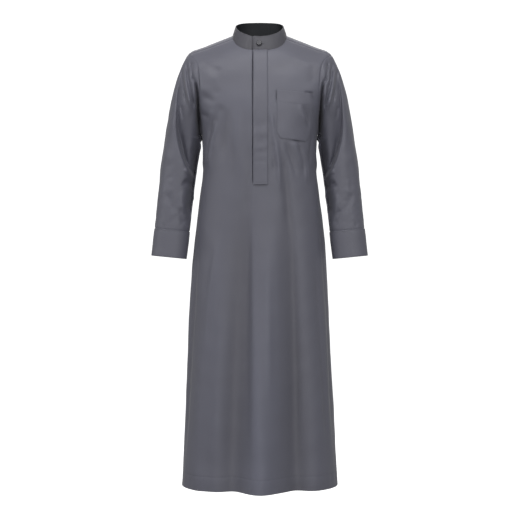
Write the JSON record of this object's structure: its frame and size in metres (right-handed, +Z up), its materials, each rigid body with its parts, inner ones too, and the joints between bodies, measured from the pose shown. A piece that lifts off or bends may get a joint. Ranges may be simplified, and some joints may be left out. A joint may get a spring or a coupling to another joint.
{
  "type": "thobe robe",
  "caption": "Ankle-length long-sleeved robe with a stand collar, covered front opening, chest patch pocket and plain cuffs.",
  "frame": {"origin": "base of the neck on the garment's centre line, level with the points where the shoulders meet the collar, where the wearer's neck and shoulders hold it", "axes": "+Z up from hem to collar, +X to the wearer's left, the front faces -Y"},
  "size_m": [0.6598, 0.3422, 1.4267],
  "materials": {
    "body_cloth": "fine matte weave",
    "sleeve_cloth": "fine matte weave",
    "band_cloth": "fine matte weave",
    "placket_cloth": "fine matte weave",
    "pocket_cloth": "fine matte weave",
    "button": "satin, with a raised rim"
  },
  "bodies": {
    "root": {"front": "body_cloth", "back": "body_cloth", "sleeve_left": "sleeve_cloth", "sleeve_right": "sleeve_cloth", "cuff_left": "band_cloth", "cuff_right": "band_cloth", "collar": "band_cloth", "placket": "placket_cloth", "placket_under": "placket_cloth", "pocket": "pocket_cloth", "collar_button": "button"}
  },
  "joints": []
}
